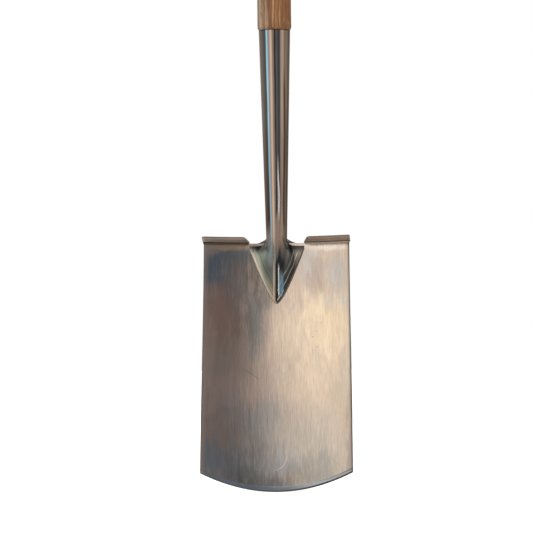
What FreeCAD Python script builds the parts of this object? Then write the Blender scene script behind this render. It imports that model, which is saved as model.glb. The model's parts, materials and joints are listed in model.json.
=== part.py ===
import FreeCAD, Part
import math
import os

# Garden spade, all lengths in millimetres, angles in degrees.
# +Z runs up the shaft, X runs across the blade, the hollow front of the blade faces -Y.
# The origin is at the bottom centre of the whole spade's bounding box.

# ---- driving dimensions: whole tool -------------------------------------------------
TOTAL_HEIGHT = 1100.0
AXIS_Y = 20.7            # where the shaft's axis stands in front-back direction
LIFT = 12.0              # the blade leans forward of the shaft by this angle

# ---- blade --------------------------------------------------------------------------
BLADE_TOP_Z = 272.0      # height of the blade's top edge on the shaft's axis
BLADE_LENGTH = 278.0     # along the blade, from the top edge to the lowest point
BLADE_HALF_WIDTHS = [80.6, 80.8, 83.0, 83.1]   # control widths from the top edge down
EDGE_SAGITTA = 20.0      # how far the curved cutting edge drops below its corners
DISH_RADIUS = 550.0      # sideways hollow of the blade
BOW = 3.0                # lengthwise hollow of the blade
BLADE_THICK_TOP = 2.2
BLADE_THICK_LOW = 1.6
CUTTING_EDGE_THICK = 0.4
BEVEL_WIDTH = 5.0        # sharpened bevel along the cutting edge

# ---- treads -------------------------------------------------------------------------
TREAD_THICK = 2.8
TREAD_DEPTH = 19.0       # how far a tread stands forward of the blade
TREAD_INNER_X = 30.2     # inner end where the tread meets the blade
TREAD_INNER_SLANT = 4.2  # the inner end is cut on a slant, this much shorter at the front
TREAD_OUTER_X = 81.6
TREAD_OUTER_RADIUS = 2.5
TREAD_INNER_RADIUS = 5.0
TREAD_EDGE_ROUND = 0.7
TREAD_WELD_RADIUS = 1.8

# ---- socket -------------------------------------------------------------------------
SHEET = 2.0              # sheet thickness of the rolled socket
RING_Z = 278.0           # above this height the socket is a full round cone
MOUTH_Z = 509.0
RING_RADIUS = 11.6       # outer radius at RING_Z
MOUTH_RADIUS = 17.5      # outer radius at the mouth
SEAM_WIDTH = 1.4         # open seam down the back
SEAM_LOW_Z = 318.0
KAPPA = 0.5523           # control length of a quarter circle drawn as a cubic

# Foot on the front: the V outline, from its tip up to its outer top corner
FOOT_TIP_Z = 206.0
FOOT_TOP_Z = 269.3
FOOT_HALF_WIDTH = 30.4
FOOT_SHEET = 1.9
FOOT_RIDGE = 3.4         # extra rise of the foot's central crease part way up
# Control points of half the outline: distance from the middle, height above the tip
FOOT_OUTLINE = [(0.0, 0.0), (7.5, 6.0), (12.5, 19.5), (21.0, 37.0), (30.4, 63.3)]
# The same for the flank above it, with the share of the ridge's rise there
FOOT_FLANK = [(0.0, 23.0, 1.0), (3.0, 25.0, 0.62), (8.5, 36.0, 0.5), (15.0, 50.0, 0.25), (19.0, 63.3, 0.03)]
# Tongue on the back
TONGUE_TIP_Z = 182.0
TONGUE_TOP_Z = 271.8
TONGUE_HALF_WIDTH = 27.0
TONGUE_RIDGE = 2.0
WELD_RADIUS = 1.5

# ---- socket screws ------------------------------------------------------------------
SCREW_HEIGHTS = {"upper": 468.0, "lower": 402.0}
SCREW_ANGLES = {"upper": 34.0, "lower": -34.0}   # either side of the seam
SCREW_SHANK_RADIUS = 2.2
SCREW_LENGTH = 20.0
SCREW_HEAD_RADIUS = 4.4
SCREW_HEAD_HEIGHT = 2.6

# ---- wooden shaft -------------------------------------------------------------------
SHAFT_RADIUS = 18.8
NECK_RADIUS = 18.0
SHAFT_END_Z = 304.0      # bottom of the tapered end inside the socket
SHOULDER_HEIGHT = 5.5
SHOULDER_RADIUS = 17.1
NECK_Z = 850.0
# Half of the split top, as sections:
# height, centre X, half width, half depth, squareness of the outline
ARM_SECTIONS = [
    (850.0, 0.0, 18.0, 18.0, 2.0),
    (872.0, 1.6, 17.6, 18.0, 2.0),
    (894.0, 8.6, 13.0, 17.6, 2.2),
    (914.0, 17.5, 10.4, 16.8, 2.4),
    (936.0, 28.5, 9.5, 16.0, 2.6),
    (960.0, 40.3, 9.0, 15.4, 2.9),
    (984.0, 48.4, 8.7, 15.0, 3.2),
    (1010.0, 51.4, 8.5, 14.7, 3.6),
    (1044.0, 51.8, 8.4, 14.5, 4.0),
    (1076.0, 51.8, 8.4, 14.4, 4.0),
    (1089.0, 51.8, 8.0, 12.6, 3.4),
    (1096.5, 51.8, 6.6, 8.8, 2.8),
    (1100.0, 51.8, 3.4, 4.4, 2.2),
]
WEDGE_HALF_DEPTH = 12.5
WEDGE_TOP_Z = 926.0

# ---- grip, rivets and washers -------------------------------------------------------
GRIP_Z = 1076.0
GRIP_RADIUS = 14.2
GRIP_END_RADIUS = 12.0
GRIP_HALF_LENGTH = 44.6  # housed about a millimetre deep in the arms' inner faces
TENON_RADIUS = 7.5
TENON_LENGTH = 8.0
RIVET_RADIUS = 2.6
RIVET_HEAD_RADIUS = 4.6
RIVET_HEAD_HEIGHT = 2.4
WASHER_RADIUS = 6.6
WASHER_THICK = 1.2
NECK_RIVET_Z = 876.0
GRIP_SEAT_X = 59.4       # spot-faced seat of the grip rivet's washers
NECK_SEAT_X = 17.4       # spot-faced seat of the neck rivet's washers

V = FreeCAD.Vector
X_AXIS = V(1, 0, 0)
Y_AXIS = V(0, 1, 0)
Z_AXIS = V(0, 0, 1)
SIN = math.sin(math.radians(LIFT))
COS = math.cos(math.radians(LIFT))


# ---- small helpers ------------------------------------------------------------------
def on_blade(x, depth, up):
    """Point given in the blade's own leaning frame: up is 0 at the top edge."""
    y = AXIS_Y + depth * COS + up * SIN
    z = BLADE_TOP_Z + up * COS - depth * SIN
    return V(x, y, z)


def patch(rows):
    """Bezier face whose control net is the given rows of points."""
    surface = Part.BezierSurface()
    surface.increase(len(rows) - 1, len(rows[0]) - 1)
    for i, row in enumerate(rows):
        for j, point in enumerate(row):
            surface.setPole(i + 1, j + 1, point)
    return surface.toShape()


def solid_of(faces):
    """Closed solid from faces that share their borders."""
    shell = Part.Shell(faces)
    shell.sewShape()
    solid = Part.Solid(shell)
    if solid.Volume < 0:
        solid.reverse()
    return solid


def mirrored(shape):
    return shape.mirror(V(0, 0, 0), X_AXIS)


def single(shape):
    """The one solid of a result, cleaned of needless edges."""
    cleaned = shape.removeSplitter()
    solids = sorted(cleaned.Solids, key=lambda s: s.Volume)
    return solids[-1]


def revolved(profile):
    """Solid turned about the shaft's axis from (radius, height) points."""
    points = [V(r, AXIS_Y, z) for r, z in profile]
    wire = Part.makePolygon(points + [points[0]])
    return Part.Face(wire).revolve(V(0, AXIS_Y, 0), Z_AXIS, 360)


def rod(x0, x1, radius, z):
    """Round bar lying across the tool between two X positions."""
    return Part.makeCylinder(radius, x1 - x0, V(x0, AXIS_Y, z), X_AXIS)


def dome(radius, height):
    """Round rivet or screw head standing on the XY plane."""
    ball = (radius * radius + height * height) / (2 * height)
    sphere = Part.makeSphere(ball, V(0, 0, height - ball))
    block = Part.makeBox(4 * radius, 4 * radius, height, V(-2 * radius, -2 * radius, 0))
    return sphere.common(block)


# ---- blade --------------------------------------------------------------------------
def dish_pole(column, half_width):
    """Depth of a control point that draws the sideways hollow as a parabola."""
    rise = half_width * half_width / (2 * DISH_RADIUS)
    return rise if column == 1 else -rise


def low_pole(column, inset):
    """Height of a control point of the curved cutting edge, moved up by inset."""
    drop = EDGE_SAGITTA if column == 1 else -EDGE_SAGITTA
    return -(BLADE_LENGTH + drop) + inset


def blade_row(step, side):
    """One row of the main face's control net; side is -1 for front, 1 for back."""
    part = step / 3.0
    half_width = BLADE_HALF_WIDTHS[step]
    thick = BLADE_THICK_TOP + part * (BLADE_THICK_LOW - BLADE_THICK_TOP)
    bow = 4.0 / 3.0 * BOW if step in (1, 2) else 0.0
    row = []
    for column in range(3):
        x = (column - 1) * half_width
        depth = dish_pole(column, half_width) + bow + side * thick / 2
        row.append(on_blade(x, depth, part * low_pole(column, BEVEL_WIDTH)))
    return row


def edge_row(side):
    """Control points along the cutting edge itself."""
    half_width = BLADE_HALF_WIDTHS[3]
    back = BLADE_THICK_LOW / 2
    shift = back if side > 0 else back - CUTTING_EDGE_THICK
    row = []
    for column in range(3):
        x = (column - 1) * half_width
        row.append(on_blade(x, dish_pole(column, half_width) + shift, low_pole(column, 0.0)))
    return row


def column_of(rows, index):
    return [row[index] for row in rows]


def blade():
    front = [blade_row(step, -1) for step in range(4)]
    back = [blade_row(step, 1) for step in range(4)]
    front_bevel = [front[3], edge_row(-1)]
    back_bevel = [back[3], edge_row(1)]
    faces = [patch(front), patch(back), patch(front_bevel), patch(back_bevel)]
    faces.append(patch([front[0], back[0]]))
    faces.append(patch([front_bevel[1], back_bevel[1]]))
    for index in (0, 2):
        faces.append(patch([column_of(front, index), column_of(back, index)]))
        faces.append(patch([column_of(front_bevel, index), column_of(back_bevel, index)]))
    return solid_of(faces)


# ---- treads -------------------------------------------------------------------------
def curve_depth(x):
    return -x * x / (2 * DISH_RADIUS)


def tread_curve(depth, inner_x):
    """Edge that follows the blade's hollow at a given distance in front or behind."""
    points = []
    for step in range(9):
        x = inner_x + (TREAD_OUTER_X - inner_x) * step / 8.0
        points.append(on_blade(x, curve_depth(x) + depth, 0.0))
    curve = Part.BSplineCurve()
    curve.interpolate(points)
    return curve.toShape()


def right_tread():
    front_x = TREAD_INNER_X + TREAD_INNER_SLANT
    front = tread_curve(-BLADE_THICK_TOP / 2 - TREAD_DEPTH, front_x)
    back = tread_curve(BLADE_THICK_TOP / 2, TREAD_INNER_X)
    outer = Part.makeLine(front.Vertexes[1].Point, back.Vertexes[1].Point)
    inner = Part.makeLine(back.Vertexes[0].Point, front.Vertexes[0].Point)
    plan = Part.Face(Part.Wire([front, outer, back, inner]))
    strip = plan.extrude(V(0, SIN, COS) * TREAD_THICK)
    for radius, x in ((TREAD_OUTER_RADIUS, TREAD_OUTER_X), (TREAD_INNER_RADIUS, front_x)):
        foot = on_blade(x, curve_depth(x) - BLADE_THICK_TOP / 2 - TREAD_DEPTH, TREAD_THICK / 2)
        edges = [e for e in strip.Edges if (e.CenterOfMass - foot).Length < 0.2]
        strip = strip.makeFillet(radius, edges)
    return strip


def round_tread(strip):
    """Break the tread's front and end edges, leaving the top face flat."""
    mid_up = TREAD_THICK / 2
    rim = []
    for edge in strip.Edges:
        middle = edge.valueAt((edge.FirstParameter + edge.LastParameter) / 2)
        up = (middle - on_blade(0, 0, 0)).dot(V(0, SIN, COS))
        depth = (middle - on_blade(0, 0, 0)).dot(V(0, COS, -SIN)) - curve_depth(middle.x)
        if abs(up - mid_up) > 0.1 and depth < -BLADE_THICK_TOP / 2 - 2.0:
            rim.append(edge)
    return strip.makeFillet(TREAD_EDGE_ROUND, rim)


def tread_weld(blade_solid, tread_solid):
    """Fillet weld in the crease between the tread's underside and the blade."""
    points = []
    for step in range(9):
        x = TREAD_INNER_X + 2.5 + (TREAD_OUTER_X - TREAD_INNER_X - 4.5) * step / 8.0
        points.append(on_blade(x, curve_depth(x) - BLADE_THICK_TOP / 2, 0.0))
    return tube(points, TREAD_WELD_RADIUS).cut(blade_solid).cut(tread_solid)


def tube(points, radius):
    """Round bead along a smooth curve, with round ends."""
    curve = Part.BSplineCurve()
    curve.interpolate(points)
    path = Part.Wire(curve.toShape())
    start = curve.tangent(curve.FirstParameter)[0]
    circle = Part.Wire(Part.makeCircle(radius, points[0], start))
    bead = path.makePipeShell([circle], True, False)
    for end in (points[0], points[-1]):
        bead = bead.fuse(Part.makeSphere(radius, end))
    return bead


# ---- socket -------------------------------------------------------------------------
def cone_radius(z):
    return RING_RADIUS + (MOUTH_RADIUS - RING_RADIUS) * (z - RING_Z) / (MOUTH_Z - RING_Z)


def blade_face_y(x, z, offset):
    """Y of the blade's middle surface at (x, z), moved square to the blade by offset."""
    up = (z - BLADE_TOP_Z) / COS
    share = -up / BLADE_LENGTH
    bow = 4 * BOW * share * (1 - share) if up < 0 else 0.0
    depth = curve_depth(x) + bow + offset
    return AXIS_Y + (up + depth * SIN / COS * 1.0) * SIN + depth * COS


def foot_net(side, tip_z, top_z, half_width, sheet, ring, crease):
    """Control net of one half of a foot; side is -1 for the front, 1 for the back.

    The first row runs along the outline from the tip to the outer top corner,
    the last row is a quarter circle that meets the round part of the socket.
    """
    lift = side * (BLADE_THICK_TOP / 2 + sheet)
    wide = half_width / FOOT_HALF_WIDTH
    tall = (top_z - tip_z) / (FOOT_TOP_Z - FOOT_TIP_Z)

    def rest(x, rise, more):
        z = tip_z + rise * tall
        return V(x * wide, blade_face_y(x * wide, z, lift + side * more), z)

    def about_axis(x, y, z):
        return V(x * ring, AXIS_Y + side * y * ring, z)

    outline = [rest(x, rise, 0.0) for x, rise in FOOT_OUTLINE]
    flank = [rest(x, rise, share * crease) for x, rise, share in FOOT_FLANK]
    low_z = RING_Z - 19.0 * tall
    collar = [about_axis(0.0, 1.0, low_z), about_axis(0.24, 1.0, low_z)]
    collar.append(about_axis(0.70, 0.84, low_z + 4.0))
    collar.append(about_axis(1.0, 0.46, RING_Z - 9.5))
    collar.append(V(ring + 0.2, blade_face_y(ring, top_z, lift * 0.6), top_z - 0.6))
    # the quarter circle, as a curve one degree higher than it needs
    turn = [(0.0, 1.0), (0.75 * KAPPA, 1.0), (0.5 + 0.5 * KAPPA, 0.5 + 0.5 * KAPPA)]
    turn += [(1.0, 0.75 * KAPPA), (1.0, 0.0)]
    top = [about_axis(x, y, RING_Z) for x, y in turn]
    return [outline, flank, collar, top]


def foot_half(net, side):
    """Solid between half a foot's skin and a plane well behind it."""
    skin = patch(net)
    return skin.extrude(V(0, -side * 60.0, 0))


def behind_blade(side):
    """Everything on the far side of the blade's middle surface, and of the shaft's axis above it."""
    step_z = (BLADE_TOP_Z + 0.3 - 150.0) / 8.0
    points = []
    for i in range(9):
        x = -48.0 + 12.0 * i
        points.append([V(x, blade_face_y(x, 150.0 + step_z * j, 0.0), 150.0 + step_z * j) for j in range(9)])
    surface = Part.BSplineSurface()
    surface.interpolate(points)
    low = surface.toShape().extrude(V(0, -side * 90.0, 0))
    start = AXIS_Y if side < 0 else AXIS_Y - 90.0
    high = Part.makeBox(96.0, 90.0, 30.0, V(-48.0, start, BLADE_TOP_Z + 0.3))
    return [low, high]


def foot(side, tip_z, top_z, half_width, sheet, crease, blade_solid):
    """Pressed foot: a sheet with a hollow ridge, lying on one face of the blade."""
    outer_net = foot_net(side, tip_z, top_z, half_width, sheet, RING_RADIUS, crease)
    inner_net = foot_net(side, tip_z + 9.0, top_z - 3.0, half_width - 6.0, sheet - SHEET,
                         RING_RADIUS - SHEET, crease)
    half = foot_half(outer_net, side)
    hollow = foot_half(inner_net, side)
    body = half.fuse(mirrored(half))
    core = hollow.fuse(mirrored(hollow))
    for cutter in [core] + behind_blade(side) + [blade_solid]:
        body = body.cut(cutter)
    return body


def cone(extra, z0, z1):
    return revolved([(0.0, z0), (cone_radius(z0) + extra, z0), (cone_radius(z1) + extra, z1), (0.0, z1)])


def quarter(radius, z, turn):
    """Control points of a quarter circle about the shaft's axis; turn counts quarters."""
    flat = [(0.0, -1.0), (KAPPA, -1.0), (1.0, -KAPPA), (1.0, 0.0)]
    points = []
    for x, y in flat:
        for _ in range(turn):
            x, y = -y, x
        points.append(V(radius * x, AXIS_Y + radius * y, z))
    return points


def tube_wall(radius_low, radius_high):
    return [patch([quarter(radius_low, RING_Z, turn), quarter(radius_high, MOUTH_Z, turn)])
            for turn in range(4)]


def socket_tube():
    """Round part of the socket, rolled from sheet, with an open seam down the back."""
    outer = tube_wall(RING_RADIUS, MOUTH_RADIUS)
    inner = tube_wall(RING_RADIUS - SHEET, MOUTH_RADIUS - SHEET)
    rims = []
    for turn in range(4):
        low = [quarter(RING_RADIUS, RING_Z, turn), quarter(RING_RADIUS - SHEET, RING_Z, turn)]
        high = [quarter(MOUTH_RADIUS, MOUTH_Z, turn), quarter(MOUTH_RADIUS - SHEET, MOUTH_Z, turn)]
        rims += [patch(low), patch(high)]
    slit = Part.makeBox(SEAM_WIDTH, 40.0, MOUTH_Z, V(-SEAM_WIDTH / 2, AXIS_Y, SEAM_LOW_Z))
    return solid_of(outer + inner + rims).cut(slit)


def socket(blade_solid):
    front = foot(-1, FOOT_TIP_Z, FOOT_TOP_Z, FOOT_HALF_WIDTH, FOOT_SHEET, FOOT_RIDGE, blade_solid)
    back = foot(1, TONGUE_TIP_Z, TONGUE_TOP_Z, TONGUE_HALF_WIDTH, FOOT_SHEET, TONGUE_RIDGE, blade_solid)
    return front.fuse([back, socket_tube()], 0.01)


def foot_weld(side, tip_z, top_z, half_width, blade_solid, socket_solid):
    """Weld bead along one side of a foot's outline, on the blade's face."""
    net = foot_net(side, tip_z, top_z, half_width, FOOT_SHEET, RING_RADIUS, 0.0)
    outline = Part.BezierCurve()
    outline.setPoles(net[0])
    points = []
    for step in range(13):
        point = outline.value(0.02 + 0.95 * step / 12.0)
        y = blade_face_y(point.x, point.z, side * BLADE_THICK_TOP / 2)
        points.append(V(point.x, y, point.z))
    right_half = Part.makeBox(100.0, 400.0, 400.0, V(0, -200.0, 0))
    bead = tube(points, WELD_RADIUS).common(right_half)
    return single(bead.cut(blade_solid).cut(socket_solid))


def place_screw(shape, radius, slope, z, name):
    """Stand a shape made along +Z on the socket's surface, square to it."""
    placed = shape.copy()
    placed.rotate(V(0, 0, 0), Z_AXIS, 25.0 if name == "upper" else -40.0)
    placed.rotate(V(0, 0, 0), X_AXIS, -90.0 - slope)
    placed.translate(V(0, radius + 0.5, 0))
    placed.rotate(V(0, 0, 0), Z_AXIS, SCREW_ANGLES[name])
    placed.translate(V(0, AXIS_Y, z))
    return placed


def socket_screw(name, wall):
    """Round-head wood screw with a slot, seated on the wall; and its shank alone."""
    z = SCREW_HEIGHTS[name]
    where = (cone_radius(z), math.degrees(math.atan2(MOUTH_RADIUS - RING_RADIUS, MOUTH_Z - RING_Z)), z, name)
    head = dome(SCREW_HEAD_RADIUS, SCREW_HEAD_HEIGHT)
    skirt = Part.makeCylinder(SCREW_HEAD_RADIUS, 2.2, V(0, 0, -2.2))
    shank = Part.makeCylinder(SCREW_SHANK_RADIUS, SCREW_LENGTH - 5.0, V(0, 0, 5.0 - SCREW_LENGTH))
    tip = Part.makeCone(0.3, SCREW_SHANK_RADIUS, 5.0, V(0, 0, -SCREW_LENGTH))
    slot = Part.makeBox(12.0, 1.1, 2.0, V(-6.0, -0.55, SCREW_HEAD_HEIGHT - 1.1))
    pin = place_screw(shank.fuse(tip), *where)
    top = place_screw(head.fuse(skirt), *where).cut(place_screw(slot, *where)).cut(wall)
    return single(top.fuse(pin)), pin


# ---- wooden shaft and split top -----------------------------------------------------
def section(z, centre, half_width, half_depth, square):
    """Closed rounded outline at one height; square 2 is an ellipse, more is boxier."""
    if half_width == half_depth and square == 2.0:
        return Part.Wire(Part.makeCircle(half_width, V(centre, AXIS_Y, z), Z_AXIS))
    points = []
    for step in range(32):
        angle = 2 * math.pi * step / 32.0
        c = math.cos(angle)
        s = math.sin(angle)
        x = centre + half_width * math.copysign(abs(c) ** (2.0 / square), c)
        y = AXIS_Y + half_depth * math.copysign(abs(s) ** (2.0 / square), s)
        points.append(V(x, y, z))
    curve = Part.BSplineCurve()
    curve.interpolate(points, PeriodicFlag=True)
    return Part.Wire(curve.toShape())


def right_arm():
    wires = [section(*row) for row in ARM_SECTIONS]
    arm = Part.makeLoft(wires, True, False)
    keep = Part.makeBox(200.0, 200.0, TOTAL_HEIGHT, V(0, -100.0, 0))
    return arm.common(keep)


def split_top():
    arm = right_arm()
    return arm.fuse(mirrored(arm))


def shaft_pole():
    """Turned pole: tapered end in the socket, rounded shoulder on its mouth."""
    low = V(cone_radius(SHAFT_END_Z) - SHEET, AXIS_Y, SHAFT_END_Z)
    mouth = V(cone_radius(MOUTH_Z) - SHEET, AXIS_Y, MOUTH_Z)
    shoulder = V(SHOULDER_RADIUS, AXIS_Y, MOUTH_Z)
    top = V(SHAFT_RADIUS, AXIS_Y, MOUTH_Z + SHOULDER_HEIGHT)
    middle = V(SHAFT_RADIUS - 0.35, AXIS_Y, MOUTH_Z + 0.42 * SHOULDER_HEIGHT)
    neck = V(NECK_RADIUS, AXIS_Y, NECK_Z)
    centre_low = V(0, AXIS_Y, SHAFT_END_Z)
    centre_top = V(0, AXIS_Y, NECK_Z)
    span = NECK_Z - top.z
    side = Part.BezierCurve()
    side.setPoles([top, V(SHAFT_RADIUS, AXIS_Y, top.z + 0.4 * span),
                   V(NECK_RADIUS, AXIS_Y, NECK_Z - 0.3 * span), neck])
    edges = [Part.makeLine(centre_low, low), Part.makeLine(low, mouth), Part.makeLine(mouth, shoulder)]
    edges.append(Part.Arc(shoulder, middle, top).toShape())
    edges.append(side.toShape())
    edges.append(Part.makeLine(neck, centre_top))
    edges.append(Part.makeLine(centre_top, centre_low))
    return Part.Face(Part.Wire(edges)).revolve(V(0, AXIS_Y, 0), Z_AXIS, 360)


def rod_between(sign, x0, x1, radius, z):
    """Bar between two distances from the middle, on the side given by sign."""
    low, high = sorted((sign * x0, sign * x1))
    return rod(low, high, radius, z)


def rivet_seats():
    """Spot-faced flats and through holes for the rivets, to be cut from the wood."""
    cuts = []
    for sign in (-1, 1):
        cuts.append(rod_between(sign, GRIP_SEAT_X, GRIP_SEAT_X + 20.0, WASHER_RADIUS + 0.4, GRIP_Z))
        cuts.append(rod_between(sign, NECK_SEAT_X, NECK_SEAT_X + 20.0, WASHER_RADIUS + 0.4, NECK_RIVET_Z))
    cuts.append(rod(-GRIP_SEAT_X - 5.0, GRIP_SEAT_X + 5.0, RIVET_RADIUS, GRIP_Z))
    cuts.append(rod(-NECK_SEAT_X - 5.0, NECK_SEAT_X + 5.0, RIVET_RADIUS, NECK_RIVET_Z))
    return cuts


def shaft(grip_bar, pins):
    wood = shaft_pole().fuse(split_top())
    for cut in rivet_seats() + [grip_bar] + pins:
        wood = wood.cut(cut)
    return single(wood)


def crotch_wedge(top):
    """Filler glued where the two arms part, shaped by the arms themselves."""
    low = ARM_SECTIONS[1][0]
    corner = V(-22.0, AXIS_Y - WEDGE_HALF_DEPTH, low)
    block = Part.makeBox(44.0, 2 * WEDGE_HALF_DEPTH, WEDGE_TOP_Z - low, corner)
    saddle = Part.makeCylinder(18.0, 60.0, V(0, AXIS_Y - 30.0, WEDGE_TOP_Z + 11.0), Y_AXIS)
    return single(block.cut(saddle).cut(top))


def grip():
    """Turned cross bar, a little fuller in the middle, with a tenon into each arm."""
    left = V(-GRIP_HALF_LENGTH, AXIS_Y + GRIP_END_RADIUS, GRIP_Z)
    right = V(GRIP_HALF_LENGTH, AXIS_Y + GRIP_END_RADIUS, GRIP_Z)
    left_mid = V(-GRIP_HALF_LENGTH, AXIS_Y, GRIP_Z)
    right_mid = V(GRIP_HALF_LENGTH, AXIS_Y, GRIP_Z)
    edges = [Part.Arc(left, V(0, AXIS_Y + GRIP_RADIUS, GRIP_Z), right).toShape()]
    edges.append(Part.makeLine(right, right_mid))
    edges.append(Part.makeLine(right_mid, left_mid))
    edges.append(Part.makeLine(left_mid, left))
    bar = Part.Face(Part.Wire(edges)).revolve(left_mid, X_AXIS, 360)
    reach = GRIP_HALF_LENGTH + TENON_LENGTH
    return single(bar.fuse(rod(-reach, reach, TENON_RADIUS, GRIP_Z)))


def rivet(seat_x, z):
    """Through rivet with a round head on each side's washer."""
    outer = seat_x + WASHER_THICK
    body = rod(-outer, outer, RIVET_RADIUS, z)
    for sign in (-1, 1):
        head = dome(RIVET_HEAD_RADIUS, RIVET_HEAD_HEIGHT)
        head.rotate(V(0, 0, 0), Y_AXIS, 90.0 * sign)
        head.translate(V(sign * outer, AXIS_Y, z))
        body = body.fuse(head)
    return single(body)


def washer(sign, seat_x, z):
    ring = rod_between(sign, seat_x, seat_x + WASHER_THICK, WASHER_RADIUS, z)
    return ring.cut(rod_between(sign, seat_x - 1.0, seat_x + WASHER_THICK + 1.0, RIVET_RADIUS, z))


# ---- the whole spade ----------------------------------------------------------------
def build():
    nodes = {}
    nodes["blade"] = blade()
    right = round_tread(right_tread())
    nodes["right_tread"] = right
    nodes["left_tread"] = mirrored(right)
    weld = tread_weld(nodes["blade"], right)
    nodes["right_tread_weld"] = weld
    nodes["left_tread_weld"] = mirrored(weld)
    tube_and_feet = socket(nodes["blade"])
    wall = socket_tube()
    pins = []
    for name in SCREW_HEIGHTS:
        nodes["socket_screw_" + name], pin = socket_screw(name, wall)
        tube_and_feet = tube_and_feet.cut(pin)
        pins.append(pin)
    nodes["socket"] = single(tube_and_feet.cut(right).cut(nodes["left_tread"]))
    bead = foot_weld(-1, FOOT_TIP_Z, FOOT_TOP_Z, FOOT_HALF_WIDTH, nodes["blade"], nodes["socket"])
    nodes["foot_weld_right"] = bead
    nodes["foot_weld_left"] = mirrored(bead)
    bead = foot_weld(1, TONGUE_TIP_Z, TONGUE_TOP_Z, TONGUE_HALF_WIDTH, nodes["blade"], nodes["socket"])
    nodes["tongue_weld_right"] = bead
    nodes["tongue_weld_left"] = mirrored(bead)
    bar = grip()
    nodes["shaft"] = shaft(bar, pins)
    nodes["grip"] = bar.cut(rod(-GRIP_SEAT_X, GRIP_SEAT_X, RIVET_RADIUS, GRIP_Z))
    nodes["crotch_wedge"] = crotch_wedge(split_top())
    nodes["grip_rivet"] = rivet(GRIP_SEAT_X, GRIP_Z)
    nodes["neck_rivet"] = rivet(NECK_SEAT_X, NECK_RIVET_Z)
    for side, sign in (("left", -1), ("right", 1)):
        nodes["grip_washer_" + side] = washer(sign, GRIP_SEAT_X, GRIP_Z)
        nodes["neck_washer_" + side] = washer(sign, NECK_SEAT_X, NECK_RIVET_Z)
    return nodes


os.makedirs("parts", exist_ok=True)
for node, shape in build().items():
    shape.exportStep("parts/" + node + ".step")
    print(node, shape.ShapeType, len(shape.Solids), round(shape.Volume), shape.isValid())
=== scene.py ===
import json
import math

import bmesh
import bpy
from mathutils import Matrix, Quaternion, Vector


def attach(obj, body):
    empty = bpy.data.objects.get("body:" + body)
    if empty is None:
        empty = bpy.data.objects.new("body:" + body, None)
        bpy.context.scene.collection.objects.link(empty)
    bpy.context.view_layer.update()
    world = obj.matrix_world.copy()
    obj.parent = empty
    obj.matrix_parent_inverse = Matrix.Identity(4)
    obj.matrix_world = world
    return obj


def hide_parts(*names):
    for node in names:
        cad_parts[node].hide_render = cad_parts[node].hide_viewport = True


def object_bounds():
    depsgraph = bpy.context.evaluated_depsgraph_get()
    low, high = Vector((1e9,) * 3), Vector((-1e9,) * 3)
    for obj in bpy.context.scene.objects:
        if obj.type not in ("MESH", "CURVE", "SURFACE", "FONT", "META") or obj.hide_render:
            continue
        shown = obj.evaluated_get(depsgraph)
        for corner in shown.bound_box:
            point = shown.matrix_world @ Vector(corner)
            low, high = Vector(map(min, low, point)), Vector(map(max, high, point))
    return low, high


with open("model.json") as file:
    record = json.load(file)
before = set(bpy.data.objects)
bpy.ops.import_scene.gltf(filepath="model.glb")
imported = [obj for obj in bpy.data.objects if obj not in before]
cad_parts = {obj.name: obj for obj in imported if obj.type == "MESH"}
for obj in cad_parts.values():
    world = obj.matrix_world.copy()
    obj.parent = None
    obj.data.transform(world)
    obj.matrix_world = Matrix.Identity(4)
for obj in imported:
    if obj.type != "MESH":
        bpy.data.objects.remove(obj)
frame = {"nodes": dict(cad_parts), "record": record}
cad_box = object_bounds()
nodes = frame["nodes"]

# ---- dimensions shared with the CAD model, in millimetres ---------------------------
AXIS_Y = 20.7                                   # the shaft's axis
LIFT = math.radians(12.0)                       # the blade's lean against the shaft
SIN, COS = math.sin(LIFT), math.cos(LIFT)
BLADE_TOP_Z, BLADE_LENGTH = 272.0, 278.0
HALF_WIDTHS = [80.6, 80.8, 83.0, 83.1]          # control points down the blade's side
SAGITTA, DISH, BOW = 20.0, 550.0, 3.0           # cutting edge's curve, hollow's radius, lengthwise bow
THICK_TOP, THICK_LOW, EDGE_THICK, BEVEL = 2.2, 1.6, 0.4, 5.0
SHEET, RING_Z, MOUTH_Z, RING_R, MOUTH_R = 2.0, 278.0, 509.0, 11.6, 17.5
SEAM, SEAM_LOW = 1.4, 318.0
KAPPA = 0.5523                                  # quarter circle as a Bezier curve
FOOT_HALF, FOOT_TALL = 30.4, 63.3
FOOT = dict(side=-1, tip=206.0, top=269.3, half=FOOT_HALF, sheet=1.9, crease=3.4)
TONGUE = dict(side=1, tip=182.0, top=271.8, half=27.0, sheet=1.9, crease=2.0)
# Half of a foot's outline, across and up; and its flank, with shares of the crease's depth
OUTLINE = [(0.0, 0.0), (7.5, 6.0), (12.5, 19.5), (21.0, 37.0), (FOOT_HALF, FOOT_TALL)]
FLANK = [(0.0, 23.0, 1.0), (3.0, 25.0, 0.62), (8.5, 36.0, 0.5), (15.0, 50.0, 0.25), (19.0, FOOT_TALL, 0.03)]

# ---- shapes that only the visual model has, in millimetres --------------------------
MOUTH_RIM = [(0.0, 0.4), (0.12, 0.15), (0.5, 0.0), (SHEET, 0.0)]    # inwards and down from its outer edge
WEB_IN_X, WEB_REACH, WEB_CURVE = 10.8, 17.7, 2.2                    # webs beside the neck
WEB_LOW_Z, WEB_TOP_Z, WEB_RISE = 270.0, 271.6, 6.4
WEB_CROWN, WEB_ROUND = 0.6, 0.5
LAST_RINGS = (1.5, 0.8)                         # how far under the mouth its rounding starts
FOOT_RIM = 0.97                                 # depth of a foot's rim, as a share of its sheet
WELD = 2e-6                                     # vertices this near become one, in metres

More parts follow.
